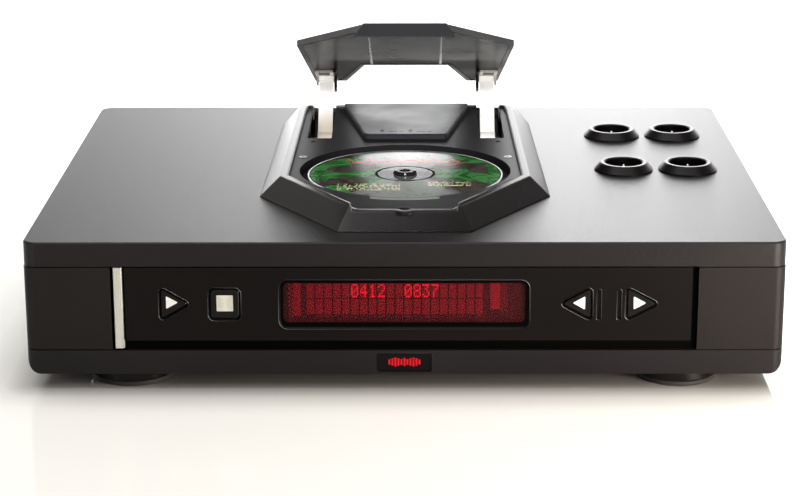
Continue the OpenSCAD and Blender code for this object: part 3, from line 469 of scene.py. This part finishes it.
# arms: painted shade, warmer and darker towards the foot where the well closes them in, mostly on the left arm
retone(ARM, lambda nt, x, y, z: mathn(nt, "MULTIPLY", mapr(nt, z, -0.008, 0.010, 0.95, 0.0), mapr(nt, x, -0.02, 0.02, 1.0, 0.25)),
       (0.50, 0.43, 0.35))
# bracket ears: dark on the inner cheek
retone(BRACKET, lambda nt, x, y, z: band(nt, mathn(nt, "ABSOLUTE", x), 0.0488, 0.0512, 0.0001), (0.020, 0.019, 0.018))
# arms: strong back light, carried as a faint glow on their upper half
_nt, _b, _f = retone(ARM, lambda nt, x, y, z: mapr(nt, z, 0.002, 0.014, 0.0, 0.40), None)
_b.inputs["Emission Color"].default_value = (1.0, 0.985, 0.95, 1)
_nt.links.new(_f, _b.inputs["Emission Strength"])
# surround: the wall towards the window side takes more of the light, painted as more specular on the left
_nt, _b, _f = retone(SURROUND, lambda nt, x, y, z: mapr(nt, x, -0.052, 0.050, 0.22, 0.050), None)
_nt.links.new(_f, _b.inputs["Specular IOR Level"])
_src = _b.inputs["Base Color"].links[0].from_socket
_tc = node(_nt, "ShaderNodeTexCoord")
_sp = node(_nt, "ShaderNodeSeparateXYZ")
_nt.links.new(_tc.outputs["Object"], _sp.inputs["Vector"])
# painted highlight: a lighter base colour on the left wall
_left = mapr(_nt, mathn(_nt, "SUBTRACT", _sp.outputs["X"], CX), -0.044, -0.026, 1.0, 0.0)
_nt.links.new(mixc(_nt, _left, _src, (0.022, 0.0195, 0.0175)), _b.inputs["Base Color"])
# rounder look where its facets meet
_bv = node(_nt, "ShaderNodeBevel")
_bv.samples = 8
_bv.inputs["Radius"].default_value = 0.0022
_bump = _b.inputs["Normal"].links[0].from_node
_nt.links.new(_bv.outputs["Normal"], _bump.inputs["Normal"])
# door liner: duller across the rear of its flat middle
_nt, _b, _f = retone(LINER, lambda nt, x, y, z: mathn(nt, "MULTIPLY", band(nt, y, 0.076, 0.30, 0.010),
                                                    band(nt, mathn(nt, "ABSOLUTE", x), -1.0, 0.052, 0.004)), None)
_nt.links.new(mathn(_nt, "MULTIPLY_ADD", _f, -0.007, 0.008), _b.inputs["Specular IOR Level"])

MATERIAL = {
    "base_tray": BASE, "side_panel_left": CHEEK, "side_panel_right": CHEEK, "rear_panel": CASE, "top_cover": CASE,
    "fascia_panel": FASCIA, "fascia_backer": INNER, "trim_bar": TRIM, "display_window": WINDOW,
    "display_module": INNER, "front_board": BOARD, "badge_window": BADGE, "badge_light": INNER,
    "play_button": CAPM, "stop_button": CAPM, "previous_button": CAPM, "next_button": CAPM,
    "play_insert": SATIN, "stop_insert": SPUN, "previous_insert": WHITE, "next_insert": WHITE,
    "door_surround": SURROUND, "well_plate": WELL, "transport_cover": TCOVER, "well_screws": SCREW,
    "lid_shell": LIDM, "lid_liner": LINER, "lid_brackets": BRACKET, "lid_pins": BRIGHT,
    "door_arm_left": ARM, "door_arm_right": ARM, "hinge_shaft": STEEL, "hinge_blocks": CHASSIS,
    "disc": DISC, "spindle_hub": HUB, "hub_balls": BRIGHT, "spindle_shaft": STEEL, "spindle_motor": STEEL,
    "mech_chassis": CHASSIS, "mech_grommets": RUBBER, "laser_sled": HUB, "objective_lens": LENS,
    "guide_rod": STEEL, "lead_screw": STEEL, "sled_motor": STEEL, "vent_rings": VENT, "valves": GLASS,
    "valve_sockets": CERAMIC, "main_board": BOARD, "capacitors": BLUE, "transformer": WIND,
    "power_inlet": JACK, "switch_housing": JACK, "power_rocker": JACK, "line_jacks": GOLD,
    "balanced_jacks": JACK, "digital_jacks": JACK, "feet": CAPM, "foot_pads": RUBBER, "case_screws": BRIGHT,
}
for name, mt in MATERIAL.items():
    o = N[name]
    o.data.materials.clear()
    o.data.materials.append(mt)
    for p in o.data.polygons:
        p.material_index = 0


# ------------------------------------------------------------------ smooth shading, sharp past an angle, for the pieces built below
def smooth(o, angle=35):
    for p in o.data.polygons:
        p.use_smooth = True
    o.data.set_sharp_from_angle(angle=math.radians(angle))


# ------------------------------------------------------------------ builders
def mesh_piece(name, bm, mat, body, smooth_angle=None):
    me = bpy.data.meshes.new(name)
    bmesh.ops.recalc_face_normals(bm, faces=bm.faces)
    bm.to_mesh(me)
    bm.free()
    o = bpy.data.objects.new(name, me)
    bpy.context.scene.collection.objects.link(o)
    for mt in (mat if isinstance(mat, (list, tuple)) else [mat]):
        me.materials.append(mt)
    if smooth_angle:
        smooth(o, smooth_angle)
    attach(o, body)
    return o


def lathe(bm, profile, centre, seg=128, mat_of=None):
    """Closed ring of a profile [(r, z)...] in mm round a vertical axis at centre (metres)."""
    rings = []
    for i in range(seg):
        a = 2 * math.pi * i / seg
        rings.append([bm.verts.new((centre.x + r / 1000 * math.cos(a), centre.y + r / 1000 * math.sin(a),
                                    centre.z + z / 1000)) for r, z in profile])
    k = len(profile)
    for i in range(seg):
        a, b = rings[i], rings[(i + 1) % seg]
        for j in range(k):
            f = bm.faces.new((a[j], b[j], b[(j + 1) % k], a[(j + 1) % k]))
            if mat_of:
                f.material_index = mat_of[j]


def box_bm(bm, lo, hi, mi=0):
    vs = [bm.verts.new((x, y, z)) for x in (lo[0], hi[0]) for y in (lo[1], hi[1]) for z in (lo[2], hi[2])]
    q = [(0, 1, 3, 2), (4, 6, 7, 5), (0, 4, 5, 1), (2, 3, 7, 6), (0, 2, 6, 4), (1, 5, 7, 3)]
    for f in q:
        bm.faces.new([vs[i] for i in f]).material_index = mi


# ------------------------------------------------------------------ display
FONT = {"0": "01110 10001 10011 10101 11001 10001 01110", "1": "00100 01100 00100 00100 00100 00100 01110",
        "2": "01110 10001 00001 00010 00100 01000 11111", "3": "11111 00010 00100 00010 00001 10001 01110",
        "4": "00010 00110 01010 10010 11111 00010 00010", "7": "11111 00001 00010 00100 01000 01000 01000",
        "8": "01110 10001 10001 01110 10001 10001 01110", " ": "00000 00000 00000 00000 00000 00000 00000"}
YM = CY + (-172.875 + 3.3) / 1000            # front of the display module
ZB = CZ - 78.35 / 1000                       # underside of the base


def tile(bm, x0, x1, z0, z1, dy0, dy1, mi=0):
    """Flat tile on the display, in case millimetres, standing dy0..dy1 ahead of the module."""
    box_bm(bm, (CX + x0 / 1000, YM - dy1 / 1000, ZB + z0 / 1000), (CX + x1 / 1000, YM - dy0 / 1000, ZB + z1 / 1000), mi)


bm = bmesh.new()
tile(bm, -66.8, 66.8, 30.0, 53.9, 0.01, 0.04, 0)              # dark red ground
cell_w, pitch_x = 4.05, (44.77 + 55.61 - 4.02) / 19
for k in range(20):
    x0 = -55.61 + k * pitch_x
    tile(bm, x0, x0 + cell_w, 44.75, 53.0, 0.05, 0.09, 1)
    tile(bm, x0, x0 + cell_w, 34.9, 43.95, 0.05, 0.09, 1)
    tile(bm, x0, x0 + cell_w, 32.9, 34.1, 0.05, 0.09, 3 if k % 3 else 0)
tile(bm, -63.1, -59.1, 33.9, 53.4, 0.05, 0.09, 1)
tile(bm, 49.0, 54.6, 37.9, 53.4, 0.05, 0.09, 2)
tile(bm, 54.9, 58.6, 36.5, 53.4, 0.05, 0.08, 3)
mesh_piece("display_cells", bm, [GLOW_BACK, GLOW_DIM, GLOW_SIDE,
                                 glow("glow_faint", (0.14, 0.006, 0.010), 1.0)], "case")
bm = bmesh.new()
text = "     0412  0837     "
dx, dz = cell_w / 5, 8.0 / 7
for k, ch in enumerate(text):
    x0 = -55.61 + k * pitch_x
    for j, row in enumerate(FONT[ch].split()):
        for i, on in enumerate(row):
            if on == "1":
                tile(bm, x0 + i * dx + 0.06, x0 + (i + 1) * dx - 0.06, 52.9 - (j + 1) * dz + 0.09, 52.9 - j * dz - 0.09,
                     0.10, 0.16)
mesh_piece("display_digits", bm, GLOW_DOT, "case")
bm = bmesh.new()
for j in range(8):
    for x0, off in ((-65.8, 0.0), (-64.3, 1.2)):
        tile(bm, x0, x0 + 0.8, 52.2 - j * 2.5 - off, 52.9 - j * 2.5 - off, 0.10, 0.16)
mesh_piece("display_scale_dots", bm, glow("glow_scale", (0.62, 0.02, 0.035), 1.0), "case")

# badge: a plain row of lit bars in place of a mark
bm = bmesh.new()
YB = CY + (-172.875 + 0.8) / 1000
heights = [3.0, 4.4, 5.4, 4.4, 3.4, 4.8, 3.4, 4.4, 5.4, 4.4, 3.0]
for k, h in enumerate(heights):
    x0 = -9.15 + k * 1.72
    box_bm(bm, (CX + x0 / 1000, YB - 0.00012, ZB + (6.9 - h / 2) / 1000),
           (CX + (x0 + 1.12) / 1000, YB - 0.00001, ZB + (6.9 + h / 2) / 1000))
mesh_piece("badge_bars", bm, GLOW_BADGE, "case")

# two small arrow marks and dashes printed on the transport cover, in place of its lettering
bm = bmesh.new()
ZC = CZ + (13.3 + 0.012) / 1000


def flat(bm, pts, z=ZC, t=0.00003):
    vs = [bm.verts.new((CX + x / 1000, CY + y / 1000, z)) for x, y in pts]
    f = bm.faces.new(vs)
    if f.normal.z < 0:
        f.normal_flip()
    return f


for x0 in (-16.5, 2.0):
    flat(bm, [(x0, 40.5), (x0 + 2.2, 40.5), (x0 + 2.2, 44.5), (x0 + 3.2, 44.5), (x0 + 1.1, 48.5), (x0 - 1.0, 44.5),
              (x0, 44.5)])
    for k, w in enumerate((3.2, 2.0, 2.8)):
        xa = x0 + 5.2 + k * 3.6
        flat(bm, [(xa, 41.0), (xa + w, 41.0), (xa + w, 43.2), (xa, 43.2)])
mesh_piece("cover_marks", bm, plastic("mark_ink", (0.004, 0.004, 0.004), rough=0.6, spec=0.1), "case")


# ------------------------------------------------------------------ front lips, and a black ring for the shaded gap round the window
YFR = CY - 172.875 / 1000


def corner_outline(corners, n=8):
    """Closed outline through rounded corners [(x, z, r, start angle, end angle)...], case millimetres."""
    pts = []
    for x, z, r, a0, a1 in corners:
        for i in range(n + 1):
            a = math.radians(a0 + (a1 - a0) * i / n)
            pts.append((x + r * math.cos(a), z + r * math.sin(a)))
    return pts


def pill(cx, cz, w, h, r):
    x, z = w / 2 - r, h / 2 - r
    return corner_outline([(cx + x, cz + z, r, 0, 90), (cx - x, cz + z, r, 90, 180), (cx - x, cz - z, r, 180, 270),
                           (cx + x, cz - z, r, 270, 360)])


def tri(cx, cz, w, h, r, flip=1):
    """Triangle with round corners, pointing to +X (or -X when flip is -1)."""
    a = (w / 2 - r, 0.0)
    b, c = (-w / 2 + r, h / 2 - r), (-w / 2 + r, -h / 2 + r)
    ang = math.degrees(math.atan2(a[0] - b[0], b[1] - a[1]))      # outward normal of the upper side
    pts = corner_outline([(a[0], a[1], r, -ang, ang), (b[0], b[1], r, ang, 180), (c[0], c[1], r, 180, 360 - ang)])
    return [(cx + flip * x, cz + z) for x, z in pts]


def bead(bm, pts, rb, y):
    """Round bead along a closed outline on the front plane, y in millimetres behind the front."""
    n, k = len(pts), 8
    rings = []
    for i, (x, z) in enumerate(pts):
        px, pz = pts[i - 1]
        qx, qz = pts[(i + 1) % n]
        tx, tz = qx - px, qz - pz
        L = math.hypot(tx, tz) or 1.0
        nx, nz = tz / L, -tx / L
        rings.append([bm.verts.new((CX + (x + nx * rb * math.cos(2 * math.pi * j / k)) / 1000,
                                    YFR + (y + rb * math.sin(2 * math.pi * j / k)) / 1000,
                                    ZB + (z + nz * rb * math.cos(2 * math.pi * j / k)) / 1000)) for j in range(k)])
    for i in range(n):
        a, b = rings[i], rings[(i + 1) % n]
        for j in range(k):
            bm.faces.new((a[j], a[(j + 1) % k], b[(j + 1) % k], b[j]))


bm = bmesh.new()
bead(bm, tri(-131.2, 42.1, 15.3 + 1.8, 17.3 + 1.8, 2.5), 0.34, 0.12)
bead(bm, pill(-102.2, 41.9, 17.1 + 1.8, 17.9 + 1.8, 3.5), 0.34, 0.12)
bead(bm, tri(98.4, 42.1, 16 + 1.8, 17.3 + 1.8, 2.5, -1), 0.34, 0.12)
bead(bm, tri(134.7, 42.1, 16.4 + 1.8, 17.3 + 1.8, 2.5), 0.34, 0.12)
bead(bm, pill(0, 41.8, 140.4 + 2.4, 27 + 2.4, 5.2), 0.36, 0.12)
for gx in (110.7, 122.2):
    bead(bm, pill(gx, 41.7, 2.7, 18.2, 0.9), 0.28, 0.10)
mesh_piece("fascia_lips", bm, LIP, "case", smooth_angle=60)

bm = bmesh.new()
blo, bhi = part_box("badge_window")
bead(bm, pill(((blo.x + bhi.x) / 2 - CX) * 1000, ((blo.z + bhi.z) / 2 - ZB) * 1000, (bhi.x - blo.x) * 1000 + 0.3,
              (bhi.z - blo.z) * 1000 + 0.3, 1.2), 0.30, (blo.y - YFR) * 1000 + 0.22)
mesh_piece("badge_lip", bm, LIP, "case", smooth_angle=60)

# painted shade: a matte black ring fills the gap round the window, wider at the bottom
bm = bmesh.new()
outer, inner = pill(0, 41.8, 140.2, 26.8, 3.9), pill(0, 42.45, 138.2, 23.6, 3.2)
rows = []
for y in (0.70, 1.18):
    rows.append([[bm.verts.new((CX + x / 1000, YFR + y / 1000, ZB + z / 1000)) for x, z in o] for o in (outer, inner)])
n = len(outer)
for i in range(n):
    j = (i + 1) % n
    (fo, fi), (bo, bi) = rows
    bm.faces.new((fo[i], fo[j], fi[j], fi[i]))
    bm.faces.new((bo[i], bi[i], bi[j], bo[j]))
    bm.faces.new((fi[i], fi[j], bi[j], bi[i]))
    bm.faces.new((fo[i], bo[i], bo[j], fo[j]))
mesh_piece("window_gap_shade", bm, INNER, "case")

# polished right-hand edge of the trim bar
bm = bmesh.new()
prof = [(-160.84, -0.385), (-159.885, 0.57), (-159.93, 0.58), (-160.87, -0.36)]
lo_r = [bm.verts.new((CX + x / 1000, YFR + y / 1000, ZB + 15.62 / 1000)) for x, y in prof]
hi_r = [bm.verts.new((CX + x / 1000, YFR + y / 1000, ZB + 63.58 / 1000)) for x, y in prof]
for i in range(4):
    j = (i + 1) % 4
    bm.faces.new((lo_r[i], lo_r[j], hi_r[j], hi_r[i]))
bm.faces.new(lo_r[::-1])
bm.faces.new(hi_r)
mesh_piece("trim_edge", bm, MIRROR, "case")

# glass tips of the valves, seen down the vents
bm = bmesh.new()
vlo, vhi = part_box("valves")
for vx, vy in ((138.3, -6.9), (178.9, -6.9), (138.3, 84.5), (178.9, 84.5)):
    lathe(bm, [(0.0001, -2.2), (2.1, -2.2), (2.0, -1.2), (1.35, 0.2), (1.0, 1.6), (0.75, 2.7), (0.4, 3.25), (0.0001, 3.4)],
          P(vx, vy, 0), seg=24)
mesh_piece("valve_tips", bm, metal("tip_silvered", (0.90, 0.91, 0.92), rough=0.12, bump=0.0, metal=0.6), "case",
           smooth_angle=60)

# ------------------------------------------------------------------ door's underside
ARM_R, ARM_OPEN, TILT = 50.82, math.radians(44), math.radians(-18.8)
PIN_Y = 133 + ARM_R * math.cos(ARM_OPEN)
PIN_Z = -15 + ARM_R * math.sin(ARM_OPEN)
SHUT_Y, SHUT_Z = 133 - math.sqrt(ARM_R ** 2 - 21.6 ** 2), 6.6


def D(x, y, z):
    """A point of the shut door (case millimetres, z above the top plane), carried to the open pose."""
    dy, dz = y - SHUT_Y, z - SHUT_Z
    return P(x, PIN_Y + dy * math.cos(TILT) - dz * math.sin(TILT), PIN_Z + dy * math.sin(TILT) + dz * math.cos(TILT))


bm = bmesh.new()
for sx in (-1, 1):
    # low ridge, wide at the back, with a rounded crest
    prof = [(-1.0, 0.0), (-0.55, -0.26), (0.0, -0.36), (0.55, -0.26), (1.0, 0.0)]
    ends = []
    for y, w, x in ((-107.0, 0.32, 22.6), (-60.0, 0.45, 22.9), (27.0, 0.85, 23.3)):
        ends.append([bm.verts.new(D(sx * x + a * w, y, 10.56 + b * (0.6 if y < 0 else 0.9))) for a, b in prof])
    for e0, e1 in zip(ends, ends[1:]):
        for i in range(5):
            bm.faces.new((e0[i], e0[(i + 1) % 5], e1[(i + 1) % 5], e1[i]))
    bm.faces.new(ends[0])
    bm.faces.new(ends[-1][::-1])
# painted highlight: the ridges are shaped, and also coloured a lighter grey than the liner so they read as light lines
mesh_piece("liner_ridges", bm, plastic("ridge_painted_highlight", (0.10, 0.10, 0.105), rough=0.25, bump=0.0, spec=0.8), "door",
           smooth_angle=70)

bm = bmesh.new()
for sx in (-1, 1):
    vs = [bm.verts.new(D(sx * x, y, z)) for x in (53.6, 61.3) for y in (63.8, 77.2) for z in (9.02, 9.06)]
    for f in ((0, 1, 3, 2), (4, 6, 7, 5), (0, 4, 5, 1), (2, 3, 7, 6), (0, 2, 6, 4), (1, 5, 7, 3)):
        bm.faces.new([vs[i] for i in f])
mesh_piece("bracket_pads", bm, plastic("pad_dark", (0.035, 0.033, 0.030), rough=0.5, spec=0.2), "door")


# ------------------------------------------------------------------ stage and light
def area(name, loc, target, size, size_y, power, color=(1, 1, 1)):
    li = bpy.data.lights.new(name, "AREA")
    li.shape = "RECTANGLE"
    li.size, li.size_y, li.energy, li.color = size, size_y, power, color
    o = bpy.data.objects.new(name, li)
    bpy.context.scene.collection.objects.link(o)
    o.location = loc
    o.rotation_euler = (Vector(target) - Vector(loc)).to_track_quat("-Z", "Y").to_euler()
    return o


def stage_plane(name, verts, mt):
    bmf = bmesh.new()
    bmf.faces.new([bmf.verts.new(v) for v in verts])
    me = bpy.data.meshes.new(name)
    bmf.to_mesh(me)
    bmf.free()
    me.materials.append(mt)
    o = bpy.data.objects.new(name, me)
    bpy.context.scene.collection.objects.link(o)
    return o


fm, fnt, fb = new_mat("floor_white", (0.95, 0.93, 0.88), 0.05, spec=0.42)
tc = node(fnt, "ShaderNodeTexCoord")
sp = node(fnt, "ShaderNodeSeparateXYZ")
fnt.links.new(tc.outputs["Object"], sp.inputs["Vector"])
# contact shadow: darker under the case and for a finger's breadth round it
dx = mathn(fnt, "SUBTRACT", mathn(fnt, "ABSOLUTE", sp.outputs["X"]), 0.2105)
dy = mathn(fnt, "SUBTRACT", YF + 0.006, sp.outputs["Y"])
out2 = mathn(fnt, "SQRT", mathn(fnt, "ADD", mathn(fnt, "POWER", mathn(fnt, "MAXIMUM", dx, 0.0), 2.0),
                                mathn(fnt, "POWER", mathn(fnt, "MAXIMUM", dy, 0.0), 2.0)))
near = mathn(fnt, "ADD", out2, mathn(fnt, "MINIMUM", mathn(fnt, "MAXIMUM", dx, dy), 0.0))
tone = ramp(fnt, mapr(fnt, near, -0.030, 0.055, 0.0, 1.0),
            [(0.0, (0.26, 0.245, 0.225)), (0.22, (0.34, 0.325, 0.30)), (0.45, (0.55, 0.53, 0.49)),
             (0.65, (0.83, 0.81, 0.76)), (0.90, (0.95, 0.93, 0.88))])
fnt.links.new(tone, fb.inputs["Base Color"])
stage_plane("floor", [(-5, -4, FLOOR), (5, -4, FLOOR), (5, 1.35, FLOOR), (-5, 1.35, FLOOR)], fm)

# lit backdrop: dimmer to the left and higher up
bk = bpy.data.materials.new("backdrop")
bk.use_nodes = True
nt = bk.node_tree
nt.nodes.clear()
out = node(nt, "ShaderNodeOutputMaterial")
em = node(nt, "ShaderNodeEmission")
tc = node(nt, "ShaderNodeTexCoord")
sp = node(nt, "ShaderNodeSeparateXYZ")
nt.links.new(tc.outputs["Object"], sp.inputs["Vector"])


xs = mathn(nt, "MULTIPLY_ADD", mathn(nt, "SUBTRACT", sp.outputs["Z"], 0.35), -0.55, sp.outputs["X"])
rise = mapr(nt, xs, -0.62, 0.30, 0.0, 1.0)
fall = mapr(nt, sp.outputs["X"], 0.26, 0.62, 1.0, 0.16)
across = mathn(nt, "MULTIPLY_ADD", mathn(nt, "MULTIPLY", rise, fall), 10.2, 0.72)
high = mapr(nt, sp.outputs["Z"], 0.40, 0.95, 1.0, 0.30)
low = mapr(nt, sp.outputs["Z"], 0.10, 0.40, 1.0, 0.0)
horizon = mathn(nt, "MULTIPLY_ADD", rise, -1.5, 5.0)
sky = mathn(nt, "MULTIPLY", across, high)
nt.links.new(mathn(nt, "ADD", mathn(nt, "MULTIPLY", sky, mathn(nt, "MULTIPLY_ADD", low, -0.9, 1.0)),
                   mathn(nt, "MULTIPLY", low, horizon)), em.inputs["Strength"])
# the backdrop lights and shows on its front only, so the back of the case can be looked at too
ge, tr, mx = (node(nt, "ShaderNodeNewGeometry"), node(nt, "ShaderNodeBsdfTransparent"), node(nt, "ShaderNodeMixShader"))
nt.links.new(ge.outputs["Backfacing"], mx.inputs[0])
nt.links.new(em.outputs["Emission"], mx.inputs[1])
nt.links.new(tr.outputs["BSDF"], mx.inputs[2])
nt.links.new(mx.outputs["Shader"], out.inputs["Surface"])
stage_plane("backdrop", [(-3.2, 1.3, FLOOR), (3.2, 1.3, FLOOR), (3.2, 1.3, 2.4), (-3.2, 1.3, 2.4)], bk)

world = bpy.data.worlds.new("studio")
bpy.context.scene.world = world
world.use_nodes = True
world.node_tree.nodes["Background"].inputs["Color"].default_value = (1.0, 0.985, 0.96, 1)
world.node_tree.nodes["Background"].inputs["Strength"].default_value = 0.12

area("top_soft", (0.0, 0.0, 1.7), (0, 0.0, 0), 1.8, 1.3, 29)
area("front_soft", (-0.2, -2.1, 2.1), (0, 0, 0.08), 1.3, 0.9, 15, (1.0, 0.99, 0.97))
area("glint_left", (-0.55, -0.62, 0.10), (-0.1, -0.19, 0.05), 0.10, 0.10, 0.35)
area("warm_right", (0.47, -0.50, 0.085), (0.20, -0.19, 0.045), 0.26, 0.14, 4.2, (1.0, 0.90, 0.80))


def spot(name, loc, target, angle, power, radius):
    li = bpy.data.lights.new(name, "SPOT")
    li.energy, li.spot_size, li.spot_blend, li.shadow_soft_size = power, math.radians(angle), 0.5, radius
    o = bpy.data.objects.new(name, li)
    bpy.context.scene.collection.objects.link(o)
    o.location = loc
    o.rotation_euler = (Vector(target) - Vector(loc)).to_track_quat("-Z", "Y").to_euler()
    return o


spot("arms_spot", (0.0, -2.5, 1.25), (0, 0.125, 0.115), 4.8, 760, 0.10)

size = {}
